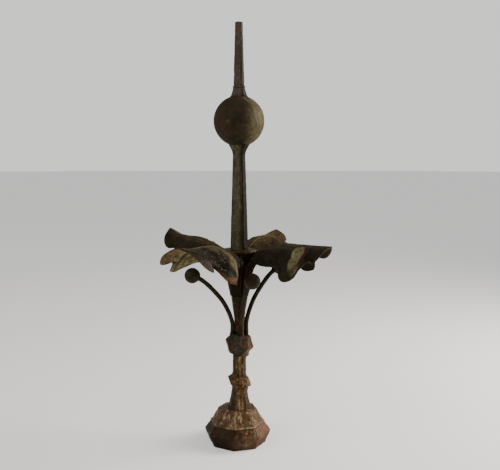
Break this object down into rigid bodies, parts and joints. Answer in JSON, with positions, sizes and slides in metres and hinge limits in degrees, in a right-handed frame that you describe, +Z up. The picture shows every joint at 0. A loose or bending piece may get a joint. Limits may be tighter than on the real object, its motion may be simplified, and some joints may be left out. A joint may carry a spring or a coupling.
{
  "type": "roof finial",
  "caption": "Iron roof finial: octagonal stem on a spreading foot, askew knops, ball-tipped stamens, drooping leaves, a ball and a blunt spike.",
  "frame": {"origin": "on the plane of the foot's flat underside, where the axis of the stem meets it; the foot's own centre stands 6 mm off that axis, as in the picture", "axes": "+Z up along the stem; -Y points along the front leaf and +X along the right leaf; the foot's flats face both axes and the diagonals"},
  "size_m": [0.5263, 0.5363, 1.1997],
  "materials": {
    "painted_iron": "dark olive-black old paint, matt to dull satin",
    "leaf_iron": "dark brown old paint with worn rims, pale residue and rust",
    "rusty_iron": "orange-brown rust with pale runs and paint remains",
    "primed_iron": "dark brown paint and red primer, dull satin, worn edges"
  },
  "bodies": {
    "root": {"foot": "primed_iron", "lower_stem": "rusty_iron", "lower_knop": "rusty_iron", "upper_knop": "rusty_iron", "stamen_front_right": "painted_iron", "stamen_back_right": "painted_iron", "stamen_back_left": "painted_iron", "stamen_front_left": "painted_iron", "leaf_front": "leaf_iron", "leaf_right": "leaf_iron", "leaf_back": "leaf_iron", "leaf_left": "leaf_iron", "upper_stem": "painted_iron", "ball": "painted_iron", "spike": "painted_iron"}
  },
  "joints": []
}
